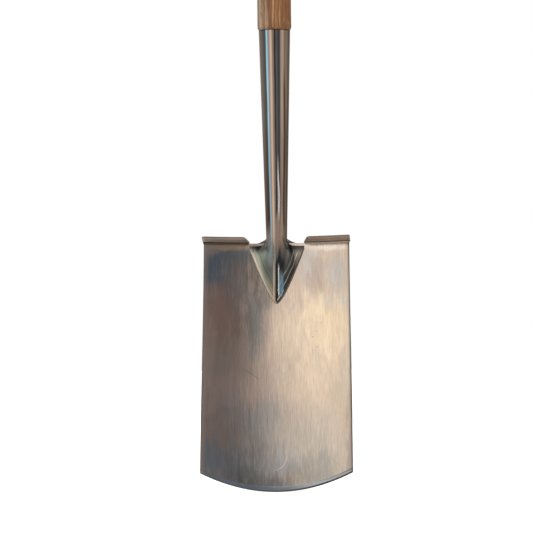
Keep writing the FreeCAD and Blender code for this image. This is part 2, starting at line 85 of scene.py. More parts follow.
# ---- marks on the surfaces, in millimetres ------------------------------------------
# Stains and painted reflections on the blade, with painted shade beside the foot: centre and reach across and
# up in millimetres, tone, strength
STAINS_REFLECTIONS_AND_SHADE = [
    ((-66, 246), (26, 28), (0.25, 0.36, 0.50), 0.97), ((-44, 259), (28, 11), (0.28, 0.36, 0.46), 0.85),
    ((-62, 192), (26, 40), (0.58, 0.43, 0.40), 0.80), ((-41, 230), (15, 30), (0.38, 0.385, 0.41), 0.80),
    ((-23, 188), (12, 44), (0.31, 0.36, 0.385), 0.80), ((-23, 238), (12, 30), (0.27, 0.25, 0.25), 0.70),
    ((-46, 205), (11, 44), (0.44, 0.40, 0.40), 0.55),
    ((-52, 110), (44, 22), (0.78, 0.65, 0.64), 0.65), ((-74, 140), (10, 60), (0.86, 0.74, 0.70), 0.5),
    ((-24, 72), (30, 24), (0.40, 0.48, 0.56), 0.80), ((-78, 34), (20, 26), (0.40, 0.49, 0.60), 0.85),
    ((-36, 30), (62, 28), (0.44, 0.53, 0.64), 0.80), ((10, 24), (62, 34), (0.34, 0.40, 0.48), 0.88),
    ((2, 62), (60, 40), (0.50, 0.515, 0.54), 0.60), ((46, 44), (50, 36), (0.50, 0.50, 0.52), 0.65),
    ((-2, 6), (60, 30), (0.30, 0.37, 0.46), 0.88), ((36, 4), (40, 18), (0.34, 0.38, 0.44), 0.65),
    ((16, 15), (20, 11), (0.40, 0.33, 0.29), 0.55), ((48, 26), (22, 20), (0.36, 0.38, 0.42), 0.75),
    ((37, 30), (9, 12), (0.44, 0.38, 0.34), 0.40), ((66, 48), (10, 38), (0.80, 0.73, 0.68), 0.30),
    ((-12, 60), (18, 64), (0.44, 0.44, 0.46), 0.50), ((-8, 4), (34, 15), (0.155, 0.17, 0.20), 0.85),
    ((-48, 84), (22, 34), (0.64, 0.65, 0.70), 0.55), ((40, 12), (24, 12), (0.40, 0.40, 0.43), 0.6),
    ((83, 34), (7, 44), (0.34, 0.36, 0.40), 0.65), ((33, 26), (16, 18), (0.34, 0.345, 0.38), 0.50),
    ((-22, 34), (17, 28), (0.33, 0.35, 0.375), 0.50), ((80, 120), (6, 40), (0.50, 0.50, 0.50), 0.35),
    ((-56, 269), (34, 5), (0.86, 0.73, 0.59), 0.85), ((56, 268), (32, 6), (0.91, 0.90, 0.94), 0.85),
    ((34, 250), (24, 22), (0.53, 0.56, 0.64), 0.80), ((48, 250), (15, 9), (0.47, 0.43, 0.42), 0.60),
    ((66, 240), (14, 26), (0.50, 0.54, 0.62), 0.75), ((44, 229), (13, 17), (0.44, 0.40, 0.42), 0.75),
    ((64, 207), (24, 10), (0.56, 0.60, 0.68), 0.70), ((19, 216), (9, 18), (0.60, 0.55, 0.54), 0.5),
    ((-13, 210), (13, 15), (0.30, 0.30, 0.31), 0.8),
    ((54, 176), (32, 44), (0.88, 0.79, 0.665), 0.75), ((12, 168), (26, 56), (0.84, 0.77, 0.68), 0.65),
    ((40, 128), (30, 34), (0.84, 0.76, 0.685), 0.50), ((80, 130), (8, 70), (0.74, 0.71, 0.68), 0.5),
    ((-79, 19), (10, 9), (0.70, 0.70, 0.70), 0.60), ((-30, 17), (18, 16), (0.25, 0.28, 0.31), 0.50),
    ((30, 18), (18, 13), (0.30, 0.28, 0.28), 0.50), ((81, 70), (6, 56), (0.42, 0.39, 0.38), 0.50),
    ((-79, 268), (9, 6), (0.85, 0.78, 0.74), 0.65)]
# Scratches: arcs by centre and radius, the stretch that shows, tone and width
SCRATCHES = [((-4.6, 38.2), 15.4, (7.0, 30), (12, 14), (0.74, 0.67, 0.61), 0.5),
             ((-60, 75), 62.0, (-28, 127), (12, 8), (0.32, 0.27, 0.25), 0.5),
             ((6.9, -44.6), 96.0, (62, 34), (13, 9), (0.42, 0.37, 0.34), 0.4)]

# Long grain marks on the lower shaft: place and half width across it in mm, tone, strength
MARKS = [(-4.4, 3.4, (0.155, 0.074, 0.030), 0.80), (-14.3, 1.3, (0.56, 0.47, 0.36), 0.80),
         (-16.6, 0.9, (0.24, 0.15, 0.07), 0.60), (-7.4, 1.0, (0.50, 0.38, 0.27), 0.55),
         (-1.6, 0.9, (0.20, 0.095, 0.034), 0.80), (13.2, 0.9, (0.16, 0.06, 0.028), 0.75),
         (4.4, 0.8, (0.22, 0.10, 0.040), 0.65), (9.2, 0.8, (0.24, 0.10, 0.042), 0.55),
         (-10.2, 1.9, (0.25, 0.155, 0.095), 0.55), (0.9, 1.3, (0.30, 0.145, 0.062), 0.50),
         (-3.1, 1.1, (0.26, 0.125, 0.052), 0.45)]

# The foot's edge: height over its tip, and distance from the middle, as shares of the whole
FOOT_EDGE = [(0.0, 0.0), (0.047, 0.094), (0.136, 0.227), (0.348, 0.451), (0.63, 0.70), (1.0, 1.0)]


# ---- node helpers -------------------------------------------------------------------
NOISE_SHIFT = (11.37, 7.61, 5.83)               # keeps the noise's regular origin off the spade
MIX_FACTOR, MIX_A, MIX_B, MIX_RESULT = 0, 6, 7, 2   # a Mix node's sockets for colours


def grey(value):
    """Tone without a hue."""
    return (value,) * 3


class Graph:
    """A few short calls for building a node tree."""

    def __init__(self, tree):
        self.nodes, self.links = tree.nodes, tree.links

    def add(self, kind, inputs=None, **props):
        node = self.nodes.new(kind)
        for key, value in props.items():
            setattr(node, key, value)
        for key, value in (inputs or {}).items():
            self.feed(node.inputs[key], value)
        return node

    def feed(self, socket, value):
        """Give an input its value, which may be another node's output."""
        if isinstance(value, bpy.types.NodeSocket):
            self.links.new(value, socket)
        else:
            socket.default_value = value

    def math(self, kind, a, b=0.0):
        return self.add("ShaderNodeMath", {0: a, 1: b}, operation=kind).outputs[0]

    def plus(self, a, b):
        return self.math("ADD", a, b)

    def minus(self, a, b):
        return self.math("SUBTRACT", a, b)

    def times(self, product, *factors):
        for factor in factors:
            product = self.math("MULTIPLY", product, factor)
        return product

    def size(self, value):
        return self.math("ABSOLUTE", value)

    def span(self, value, low, high, to_low=0.0, to_high=1.0, kind="LINEAR"):
        """Carry one range of values over to another, held at both ends."""
        return self.add("ShaderNodeMapRange", {"Value": value, "From Min": low, "From Max": high,
                                               "To Min": to_low, "To Max": to_high},
                        interpolation_type=kind).outputs[0]

    def ramp(self, value, stops):
        node = self.add("ShaderNodeValToRGB", {"Fac": value})
        elements = node.color_ramp.elements
        while len(elements) < len(stops):
            elements.new(0.5)
        for element, (place, tone) in zip(elements, stops):
            element.position = place
            element.color = (*tone, 1.0)
        return node.outputs[0]

    def mix(self, share, a, b, kind="MIX"):
        node = self.add("ShaderNodeMix", {MIX_FACTOR: share}, data_type="RGBA", blend_type=kind)
        for index, value in ((MIX_A, a), (MIX_B, b)):
            self.feed(node.inputs[index], (*value, 1.0) if isinstance(value, tuple) else value)
        return node.outputs[MIX_RESULT]


class Material(Graph):
    """A material whose colour and metal are built up in layers, placed in millimetres."""

    def __init__(self, name, metal):
        self.mat = bpy.data.materials.new(name)
        self.mat.use_nodes = True
        super().__init__(self.mat.node_tree)
        self.bsdf = self.nodes["Principled BSDF"]
        self.at = self.add("ShaderNodeTexCoord").outputs["Object"]
        self.metal = metal

    def axes(self):
        """The place across, back and up, in millimetres."""
        return [self.times(metres, 1000.0)
                for metres in self.add("ShaderNodeSeparateXYZ", {"Vector": self.at}).outputs]

    def facing(self, axis):
        """How far the surface faces along an axis."""
        normal = self.add("ShaderNodeNewGeometry").outputs["Normal"]
        return self.add("ShaderNodeSeparateXYZ", {"Vector": normal}).outputs[axis]

    def noise(self, scale, stretch, detail, rough, vector=None, offset=(0, 0, 0), warp=0.0):
        """Noise that is finer along the axes with the larger stretch."""
        offset = tuple(o + d for o, d in zip(offset, NOISE_SHIFT))
        place = self.add("ShaderNodeMapping", {"Vector": vector or self.at, "Scale": stretch,
                                               "Location": offset})
        return self.add("ShaderNodeTexNoise", {"Vector": place.outputs[0], "Scale": scale, "Detail": detail,
                                               "Roughness": rough, "Distortion": warp}).outputs[0]

    def line(self, value, middle, half, core=0.4):
        """Soft line where a value is near a middle one; core is the share that shows in full."""
        return self.span(self.size(self.minus(value, middle)), half, half * core)

    def away(self, x, z, centre, reach=(1.0, 1.0)):
        """Distance from a place, as a share of the reach across and up."""
        dx = self.math("DIVIDE", self.minus(x, centre[0]), reach[0])
        dz = self.math("DIVIDE", self.minus(z, centre[1]), reach[1])
        return self.math("SQRT", self.plus(self.times(dx, dx), self.times(dz, dz)))

    def blob(self, x, z, centre, reach, wobble=0.5, soft=(1.25, 0.35)):
        """Stain round a place; soft is where it starts and where it shows in full, as shares of its reach."""
        d = self.plus(self.away(x, z, centre, reach), self.span(wobble, 0.25, 0.75, -0.5, 0.5))
        return self.span(d, *soft, kind="SMOOTHSTEP")

    def paint(self, tone, *masks, kind="MIX"):
        """Lay a tone over the colour, as far as all the masks let it show."""
        self.base = self.mix(self.times(*masks), self.base, tone, kind)

    def dull(self, *masks):
        """Take the metal's mirror away, as far as all the masks let it."""
        self.metal = self.times(self.metal, self.minus(1.0, self.times(*masks)))

    def bump(self, height, strength, depth, normal=None):
        """Fine relief, with its depth in millimetres, over an earlier one if there is one."""
        node = self.add("ShaderNodeBump", {"Height": height, "Strength": strength,
                                           "Distance": depth / 1000.0})
        if normal is not None:
            self.feed(node.inputs["Normal"], normal)
        return node.outputs[0]

    def finish(self, **inputs):
        inputs.update(Base_Color=self.base, Metallic=self.metal)
        for key, value in inputs.items():
            self.feed(self.bsdf.inputs[key.replace("_", " ")], value)
        return self.mat


# ---- the steels ---------------------------------------------------------------------
def blade_steel():
    """Satin stainless sheet: lengthwise hairlines, stains mixed with painted reflections and shade, a blue
    painted reflection on the bevel, and a painted highlight and shade on the side rims.
    """
    t = Material("blade_steel", 1.0)
    x, _, z = t.axes()
    fine = t.noise(1.0, (900, 300, 9), 3.0, 0.6)
    broad = t.noise(1.0, (140, 60, 5), 3.0, 0.55, offset=(3, 1, 0))
    hairs = t.noise(1.0, (820, 300, 11), 3.0, 0.6, offset=(6, 2, 3))
    cloud = t.noise(13.0, (1, 1, 0.6), 4.0, 0.55, offset=(0, 2, 0.4), warp=0.5)
    patch = t.noise(34.0, (1, 1, 0.55), 5.0, 0.62, offset=(5, 0, 1.7), warp=0.8)
    smear = t.noise(1.0, (70, 30, 22), 5.0, 0.62, offset=(1, 1, 6), warp=1.4)
    t.base = t.ramp(cloud, [(0.32, (0.59, 0.53, 0.52)), (0.50, (0.64, 0.58, 0.562)),
                            (0.66, (0.68, 0.615, 0.588))])
    # stains, painted reflections and painted shade from the table
    for centre, reach, tone, share in STAINS_REFLECTIONS_AND_SHADE:
        t.paint(tone, t.blob(x, z, centre, reach, smear), share)
    t.paint((0.47, 0.49, 0.54), t.span(patch, 0.54, 0.66, 0.0, 0.30))
    t.paint((0.80, 0.74, 0.68), t.span(broad, 0.35, 0.65, 0.0, 0.20), kind="MULTIPLY")
    t.paint((0.30, 0.27, 0.25), t.span(fine, 0.35, 0.70, 0.0, 0.12))
    t.paint((0.80, 0.73, 0.68), t.span(hairs, 0.52, 0.68, 0.0, 0.22))
    # the ground bevel along the bottom is painted with a blue reflection that changes across it, and is
    # darker near its edge; low is the height over its edge
    low_half = HALF_WIDTHS[-1]
    bend = t.times(x, x)
    low = t.minus(z, t.times(bend, SAGITTA / low_half ** 2, COS))
    ground = t.span(low, BEVEL + 1.0, BEVEL)
    bevel_reflection = t.ramp(t.span(x, -83.0, 83.0), [(0.05, (0.34, 0.47, 0.67)), (0.35, (0.35, 0.49, 0.70)),
                                           (0.52, (0.52, 0.73, 0.97)), (0.70, (0.62, 0.72, 0.82)),
                                           (0.90, (0.50, 0.56, 0.63))])
    t.paint(bevel_reflection, ground, 0.9)
    t.paint((0.30, 0.30, 0.32), t.span(low, 1.8, 0.8, 0.0, 0.55))
    # the rims at the sides: painted shade on the right and a painted highlight on the left, with a darker
    # line along both
    rim = t.minus(t.size(x), t.span(z, BLADE_TOP_Z, 18.0, HALF_WIDTHS[0], low_half))
    on_right = t.span(x, -1.0, 1.0)
    t.paint((0.26, 0.24, 0.23), on_right, t.span(rim, -3.4, -1.2, 0.0, 0.70))
    t.paint((0.80, 0.74, 0.68), t.minus(1.0, on_right), t.span(rim, -6.0, -2.0, 0.0, 0.55))
    t.paint((0.30, 0.27, 0.25), t.span(rim, -0.9, -0.1, 0.0, 0.45))
    t.paint((0.085, 0.065, 0.055), on_right, t.span(rim, -1.6, -0.7, 0.0, 0.85))
    # the very edge, measured along the dished sheet, is darker, more so towards the right
    lip = t.minus(low, t.times(bend, SIN / (2.0 * DISH)))
    t.paint((0.10, 0.072, 0.058), t.span(lip, 2.1, 1.3), t.span(x, -20.0, 50.0, 0.25, 0.92))
    # the bevel mirrors less towards the right
    t.dull(ground, t.span(lip, 1.4, 2.2), t.span(x, 10.0, 45.0, 0.0, 0.62))
    for centre, radius, place, reach, tone, width in SCRATCHES:
        arc = t.line(t.away(x, z, centre), radius, width, 1.0 / 3.0)
        t.paint(tone, arc, t.blob(x, z, place, reach, fine, (1.0, 0.6)), 0.7)
    # a few dark pits
    pits = t.add("ShaderNodeTexVoronoi", {"Vector": t.at, "Scale": 95.0}).outputs["Distance"]
    t.paint((0.20, 0.17, 0.15), t.span(pits, 0.085, 0.045, 0.0, 0.6), t.span(patch, 0.52, 0.60))
    rough = t.plus(t.span(fine, 0.25, 0.75, 0.16, 0.23), t.span(cloud, 0.3, 0.7, -0.02, 0.04))
    rough = t.plus(rough, t.times(ground, 0.14))
    return t.finish(Roughness=rough, Normal=t.bump(broad, 0.08, 0.8, t.bump(fine, 0.05, 0.4)))


def plain_steel(name, tone, low, high, grain, strength):
    """Steel of one tone for a small piece; its roughness goes from low to high."""
    t = Material(name, 1.0)
    fine = t.noise(1.0, (grain,) * 3, 3.0, 0.6)
    cloud = t.noise(40.0, (1, 1, 1), 3.0, 0.5, offset=(1, 4, 2))
    t.base = t.mix(t.span(cloud, 0.35, 0.65), tuple(c * 0.86 for c in tone), tone)
    t.paint(tuple(c * 0.6 for c in tone), t.span(fine, 0.35, 0.7, 0.0, 0.25))
    rough = t.plus(t.span(fine, 0.25, 0.75, low, high), t.span(cloud, 0.3, 0.7, -0.02, 0.03))
    return t.finish(Roughness=rough, Normal=t.bump(fine, strength, 0.4))


def tread_steel():
    """Tread: brown-grey satin steel, with painted shade on its front, its rounding, its crease and the right
    tread, and its underside brightened as painted light.
    """
    t = Material("tread_steel", 0.85)
    x, y, _ = t.axes()
    up = t.facing(2)
    fine = t.noise(1.0, (16, 700, 700), 3.0, 0.6)
    cloud = t.noise(50.0, (1, 1, 1), 4.0, 0.55, offset=(1, 4, 2))
    t.base = t.mix(t.span(cloud, 0.35, 0.65), (0.68, 0.60, 0.535), (0.80, 0.71, 0.64))
    t.paint((0.56, 0.49, 0.44), t.span(fine, 0.35, 0.7, 0.0, 0.25))
    # painted shade: the right tread is darker than the left
    t.paint((0.74, 0.69, 0.64), t.span(x, -1.0, 1.0), kind="MULTIPLY")
    # the underside, brightened as painted light, and painted shade in the crease where it meets the blade
    t.paint(grey(1.35), t.span(up, -0.35, -0.7, 0.0, 0.75), kind="MULTIPLY")
    hollow = t.times(x, x, 1.0 / (2.0 * DISH))
    depth = t.minus(t.minus(AXIS_Y - THICK_TOP / 2.0, y), hollow)
    t.paint((0.05, 0.035, 0.028), t.span(depth, 6.6, 3.4), t.span(up, -0.35, -0.7), 0.94)
    # painted shade on the front face, and darker painted shade on the rounding between it and the top
    t.paint((0.60, 0.58, 0.57), t.span(up, 0.10, 0.17), t.span(up, 0.32, 0.24), kind="MULTIPLY")
    t.paint((0.10, 0.08, 0.068), t.span(up, 0.26, 0.40), t.span(up, 0.96, 0.90), 0.93)
    rough = t.plus(t.span(fine, 0.25, 0.75, 0.38, 0.48), t.span(cloud, 0.3, 0.7, -0.02, 0.04))
    return t.finish(Roughness=rough, Normal=t.bump(fine, 0.08, 0.4))


def socket_steel():
    """Brighter drawn steel, nearly mirror finish: painted reflections and highlights down its front, painted
    shade on the foot and in its hollows, and streaks along the foot's edges.
    """
    t = Material("socket_steel", 1.0)
    x, _, z = t.axes()
    back = t.facing(1)
    fine = t.noise(1.0, (700, 700, 7), 3.0, 0.6)
    slow = t.noise(1.0, (90, 90, 14), 2.0, 0.5, offset=(2, 0, 3))
    cloud = t.noise(30.0, (1, 1, 0.5), 3.0, 0.5, offset=(1, 4, 2))
    t.base = t.mix(t.span(cloud, 0.35, 0.65), (0.66, 0.63, 0.60), (0.74, 0.70, 0.66))
    t.paint((0.36, 0.33, 0.31), t.span(fine, 0.45, 0.75, 0.0, 0.35))
    not_back, in_front = t.span(back, 0.12, -0.05), t.span(back, 0.0, -0.3)
    right = t.span(x, -0.8, 0.8)
    across = t.size(x)
    paint_foot(t, x, z, across, right, slow, t.times(t.span(z, 280.0, 266.0), not_back))
    # painted reflection: darker down the right of the lower socket, with a dark painted reflected line near
    # its edge
    t.paint((0.27, 0.25, 0.245), t.span(z, 425.0, 385.0), t.span(x, 3.0, 6.5),
            t.span(slow, 0.30, 0.62, 1.0, 0.45), 0.75)
    drawn = t.minus(x, t.span(z, 320.0, 385.0, 8.6, 10.8))
    t.paint((0.13, 0.12, 0.115), t.line(drawn, 0.0, 1.3), t.span(z, 470.0, 440.0), t.span(z, 286.0, 296.0),
            0.80)
    # painted reflection: warm brown down the left of the lower socket
    t.paint((0.42, 0.29, 0.235), t.span(z, 415.0, 300.0), t.span(x, -5.0, -6.2), t.span(z, 276.0, 292.0),
            in_front)
    # painted reflections where the neck spreads into the foot, a dark band and a brown patch, and a painted
    # highlight (glint) above it
    neck = t.times(t.line(x, -6.4, 4.2), t.span(z, 300.0, 270.0), t.span(z, 244.0, 252.0), in_front)
    t.paint((0.21, 0.205, 0.185), neck, 0.85)
    t.dull(neck, 0.75)
    brown = t.times(t.blob(x, z, (1.6, 274), (5.5, 34), slow, (1.1, 0.5)), in_front, t.span(z, 250.0, 258.0))
    t.paint((0.29, 0.205, 0.16), brown, 0.85)
    t.dull(brown, 0.72)
    wander = t.plus(x, t.span(slow, 0.3, 0.7, -0.8, 0.8))
    glint = t.times(t.line(wander, 3.2, 1.0), t.span(z, 296.0, 308.0), t.span(z, 372.0, 345.0), in_front)
    t.paint((0.78, 0.75, 0.72), glint, 0.9)
    t.dull(glint, 0.8)
    # shade in the hollow beside the neck, and in the joint round the shaft
    t.paint((0.05, 0.05, 0.052), t.span(z, 260.5, 266.5), t.span(across, 10.5, 12.5), t.span(z, 279.0, 274.0),
            not_back, t.span(right, 0.0, 1.0, 0.5, 0.95))
    t.paint((0.05, 0.04, 0.035), t.span(z, MOUTH_Z - 1.1, MOUTH_Z - 0.6), 0.95)
    rough = t.plus(t.span(fine, 0.25, 0.75, 0.04, 0.10), t.span(cloud, 0.3, 0.7, -0.01, 0.03))
    return t.finish(Roughness=rough, Normal=t.bump(slow, 0.12, 1.2, t.bump(fine, 0.06, 0.3)))


def paint_foot(t, x, z, across, right, slow, foot):
    """The pressed foot: painted shade on its right flank, streaks along its slanted edges, painted
    highlights, a blue painted reflection and a pinched crest.
    """
    # painted shade: the right flank darker than the left, and darker still near its top
    t.paint(t.mix(right, (0.225, 0.285, 0.285), (0.17, 0.21, 0.225)), foot, 0.92)
    t.paint((0.075, 0.09, 0.094), t.blob(x, z, (21, 263), (8, 11), slow, (1.2, 0.5)), foot, 0.65)
    edge = t.ramp(t.span(z, FOOT["tip"], FOOT["top"]), [(rise, grey(out)) for rise, out in FOOT_EDGE])
    slant = t.minus(across, t.times(edge, FOOT_HALF))
    wave = t.plus(slant, t.span(slow, 0.3, 0.7, -1.0, 1.0))
    on_right = t.times(foot, right, t.span(z, 266.0, 258.0))
    on_left = t.times(foot, t.minus(1.0, right), t.span(z, 212.0, 222.0))
    t.paint((0.85, 0.83, 0.66), t.line(wave, -4.2, 0.7), on_right, 0.85)
    t.paint((0.80, 0.76, 0.58), t.line(wave, -8.6, 0.8), on_right, 0.75)
    t.dull(t.line(wave, -4.2, 0.6), on_right, 0.40)
    t.dull(t.line(wave, -8.6, 0.7), on_right, 0.34)
    t.paint((0.34, 0.39, 0.33), t.line(wave, -3.2, 1.3), on_left, 0.70)
    t.paint((0.125, 0.16, 0.155), t.line(wave, -8.8, 5.2), on_left, 0.60)
    t.paint((0.07, 0.085, 0.08), t.line(wave, -7.8, 0.7), on_left, 0.60)
    # near the tip of the right flank: a painted highlight (glare) and a dark line beside it
    tip = t.times(t.span(z, 221.5, 219.0), right, foot)
    glare = t.times(t.line(slant, -2.2, 0.9), tip)
    t.paint((0.95, 0.93, 0.90), glare, 0.9)
    t.dull(glare, 0.7)
    t.paint((0.15, 0.085, 0.06), t.line(slant, -4.0, 1.2), tip, 0.9)
    # a painted highlight along the foot's edge, strong on the left and faint on the right
    t.paint((0.62, 0.55, 0.485), t.span(slant, -2.4, -1.2), foot, t.span(right, 0.0, 1.0, 0.9, 0.25))
    # the pinched crest: painted shade along its crease, with a grey line and a pale painted highlight left of
    # it and a bright painted highlight right of it
    crest = t.times(t.span(z, 256.0, 248.0), t.span(z, 206.0, 209.0), foot)
    t.paint((0.30, 0.31, 0.29), t.line(x, -1.3, 0.8), crest, 0.6)
    t.paint((0.80, 0.84, 0.82), t.line(x, -3.0, 0.8), crest, 0.6)
    bright = t.times(crest, t.span(z, 212.0, 216.0), t.span(z, 252.0, 244.0))
    t.paint((0.95, 0.95, 0.93), t.line(x, 2.4, 1.0), bright, 0.9)
    t.dull(t.line(x, 2.4, 0.9), bright, 0.75)
    t.paint((0.045, 0.033, 0.027), t.line(x, -0.2, 1.4), crest, 0.97)
    # a dark patch and a blue painted reflection right of the crest
    t.paint((0.045, 0.06, 0.066), t.blob(x, z, (10.0, 255), (4.2, 13), soft=(1.2, 0.5)), foot, 0.75)
    blue = t.times(t.blob(x, z, (5.2, 227), (3.0, 16), soft=(1.2, 0.5)), foot)
    t.paint((0.16, 0.40, 0.60), blue, 0.8)
    t.dull(blue, 0.5)


# ---- the wood -----------------------------------------------------------------------
def ash(name, tint=(1.0, 1.0, 1.0), lying=False):
    """Oiled ash: long straight grain lines, dark pores and slow changes of tone."""
    t = Material(name, 0.0)
    turn = (0.0, math.pi / 2, 0.0) if lying else (0.0, 0.0, 0.0)
    along = t.add("ShaderNodeMapping", {"Vector": t.at, "Rotation": turn}).outputs[0]
    sway = t.span(t.noise(1.0, (30, 30, 30), 2.0, 0.5, along, (1, 9, 4)), 0.3, 0.7, -0.0012, 0.0012)
    aside = t.add("ShaderNodeCombineXYZ", {0: sway}).outputs[0]
    swayed = t.add("ShaderNodeVectorMath", {0: along, 1: aside}, operation="ADD").outputs[0]
    slow = t.noise(1.0, (70, 50, 5.0), 3.0, 0.5, along, (2, 0, 1), 0.4)
    bands = t.noise(1.0, (300, 300, 4.0), 4.0, 0.65, swayed, (0, 3, 0), 0.5)
    lines = t.noise(1.0, (980, 980, 6.0), 3.0, 0.75, swayed, (4, 0, 8))
    pores = t.noise(1.0, (1300, 1300, 60), 2.0, 0.6, swayed)
    flecks = t.noise(1.0, (900, 900, 14), 2.0, 0.6, swayed, (7, 7, 7))
    seams = t.noise(1.0, (560, 560, 3.5), 2.0, 0.55, swayed, (9, 2, 5))

    def tone(r, g, b):
        return (r * tint[0], g * tint[1], b * tint[2])

    t.base = t.ramp(bands, [(0.32, tone(0.265, 0.103, 0.034)), (0.45, tone(0.350, 0.148, 0.053)),
                            (0.56, tone(0.380, 0.175, 0.067)), (0.70, tone(0.420, 0.215, 0.092))])
    t.paint(tone(0.36, 0.23, 0.13), t.span(slow, 0.50, 0.66, 0.0, 0.35))
    if not lying:
        # the paler side and the long marks of the shaft's lower part
        x, _, z = t.axes()
        lower = t.span(z, 860.0, 660.0)
        place = t.plus(x, t.span(slow, 0.3, 0.7, -4.0, 4.0))
        t.paint(tone(0.50, 0.415, 0.315), t.span(place, -6.5, -12.5, 0.0, 0.56), lower)
        for middle, half, mark, share in MARKS:
            t.paint(tone(*mark), t.line(place, middle, half), share, lower)
    t.paint(tone(0.120, 0.045, 0.018), t.span(lines, 0.50, 0.58, 0.0, 0.70))
    t.paint(tone(0.150, 0.060, 0.020), t.span(seams, 0.54, 0.60, 0.0, 0.45))
    t.paint(tone(0.52, 0.36, 0.215), t.span(flecks, 0.56, 0.64, 0.0, 0.55))
    t.paint(tone(0.10, 0.042, 0.018), t.span(pores, 0.58, 0.66, 0.0, 0.55))
    return t.finish(Roughness=t.span(bands, 0.3, 0.7, 0.42, 0.58), Coat_Weight=0.12, Coat_Roughness=0.35,
                    Normal=t.bump(bands, 0.12, 0.8, t.bump(lines, 0.25, 0.4)))


# ---- geometry shared with the CAD model ---------------------------------------------
def curve_depth(x):
    """Depth of the blade's middle surface at x, less at its sides, which the hollow brings forward."""
    return -x * x / (2 * DISH)


def on_blade(x, depth, up):
    """Point in metres at a distance behind and above the middle of the blade's top edge."""
    return Vector((x, AXIS_Y + depth * COS + up * SIN, BLADE_TOP_Z + up * COS - depth * SIN)) / 1000.0


def bezier(poles, t):
    """Point of a Bezier curve whose poles are numbers or vectors."""
    row = list(poles)
    while len(row) > 1:
        row = [a * (1 - t) + b * t for a, b in zip(row, row[1:])]
    return row[0]


def net_point(net, u, v):
    """Point of a Bezier surface: u along a row of control points, v from row to row."""
    return bezier([bezier(row, u) for row in net], v)


def dish_pole(column, half):
    """Depth of a control point that draws the sideways hollow as a parabola."""
    rise = half * half / (2 * DISH)
    return rise if column == 1 else -rise


def low_pole(column, inset):
    """Height of a control point of the curved cutting edge, moved up by inset."""
    return inset - BLADE_LENGTH - (SAGITTA if column == 1 else -SAGITTA)


def blade_row(half, depth, share, inset):
    """Control points across the blade, at a share of the way down it."""
    return [on_blade((c - 1) * half, dish_pole(c, half) + depth, share * low_pole(c, inset))
            for c in range(3)]


def blade_net(side):
    """Control points of the blade's front, where side is -1, or of its back."""
    net = []
    for step, half in enumerate(HALF_WIDTHS):
        share = step / 3.0
        thick = THICK_TOP + share * (THICK_LOW - THICK_TOP)
        bow = 4.0 / 3.0 * BOW if step in (1, 2) else 0.0
        net.append(blade_row(half, bow + side * thick / 2, share, BEVEL))
    return net


def edge_row(side):
    """Control points along the cutting edge itself."""
    shift = THICK_LOW / 2 - (0.0 if side > 0 else EDGE_THICK)
    return blade_row(HALF_WIDTHS[-1], shift, 1.0, 0.0)


def blade_face_y(x, z, offset):
    """Y of the blade's middle surface at (x, z), moved square to the blade by offset."""
    up = (z - BLADE_TOP_Z) / COS
    share = -up / BLADE_LENGTH
    bow = 4 * BOW * share * (1 - share) if up < 0 else 0.0
    depth = curve_depth(x) + bow + offset
    return AXIS_Y + (up + depth * SIN / COS) * SIN + depth * COS


def foot_net(side, tip, top, half, sheet, crease):
    """Control points of half a foot, from its outline to the round part of the socket."""
    lift = side * (THICK_TOP / 2 + sheet)
    wide, tall = half / FOOT_HALF, (top - tip) / FOOT_TALL

    def rest(x, rise, more):
        z = tip + rise * tall
        return Vector((x * wide, blade_face_y(x * wide, z, lift + side * more), z)) / 1000.0

    def about(x, y, z):
        return Vector((x * RING_R, AXIS_Y + side * y * RING_R, z)) / 1000.0

    low = RING_Z - 19.0 * tall
    collar = [about(0.0, 1.0, low), about(0.24, 1.0, low), about(0.70, 0.84, low + 4.0),
              about(1.0, 0.46, RING_Z - 9.5),
              Vector((RING_R + 0.2, blade_face_y(RING_R, top, lift * 0.6), top - 0.6)) / 1000.0]
    half_k = 0.5 + 0.5 * KAPPA
    turn = [(0.0, 1.0), (0.75 * KAPPA, 1.0), (half_k, half_k), (1.0, 0.75 * KAPPA), (1.0, 0.0)]
    return [[rest(x, r, 0.0) for x, r in OUTLINE], [rest(x, r, s * crease) for x, r, s in FLANK],
            collar, [about(x, y, RING_Z) for x, y in turn]]


def cone_radius(z):
    """Outer radius of the socket's round part at a height."""
    return RING_R + (MOUTH_R - RING_R) * (z - RING_Z) / (MOUTH_Z - RING_Z)


# ---- meshes -------------------------------------------------------------------------
def steps(count):
    """Shares from 0 to 1 in equal steps."""
    return [i / count for i in range(count + 1)]


def grid_faces(bm, points, flip=False):
    """Quads over a grid of points, without those that shrink to a line."""
    verts = [[bm.verts.new(p) for p in row] for row in points]
    for i in range(len(verts) - 1):
        for j in range(len(verts[0]) - 1):
            quad = [verts[i][j], verts[i + 1][j], verts[i + 1][j + 1], verts[i][j + 1]]
            if len({tuple(round(c, 7) for c in q.co) for q in quad}) >= 3:
                bm.faces.new(reversed(quad) if flip else quad)


def smooth_mesh(bm, name, sharp):
    """Mesh with smooth faces and edges that stay sharp over an angle in degrees."""
    bmesh.ops.remove_doubles(bm, verts=bm.verts, dist=WELD)
    bmesh.ops.recalc_face_normals(bm, faces=bm.faces)
    for face in bm.faces:
        face.smooth = True
    for edge in bm.edges:
        if len(edge.link_faces) == 2 and edge.calc_face_angle() > math.radians(sharp):
            edge.smooth = False
    mesh = bpy.data.meshes.new(name)
    bm.to_mesh(mesh)
    bm.free()
    return mesh


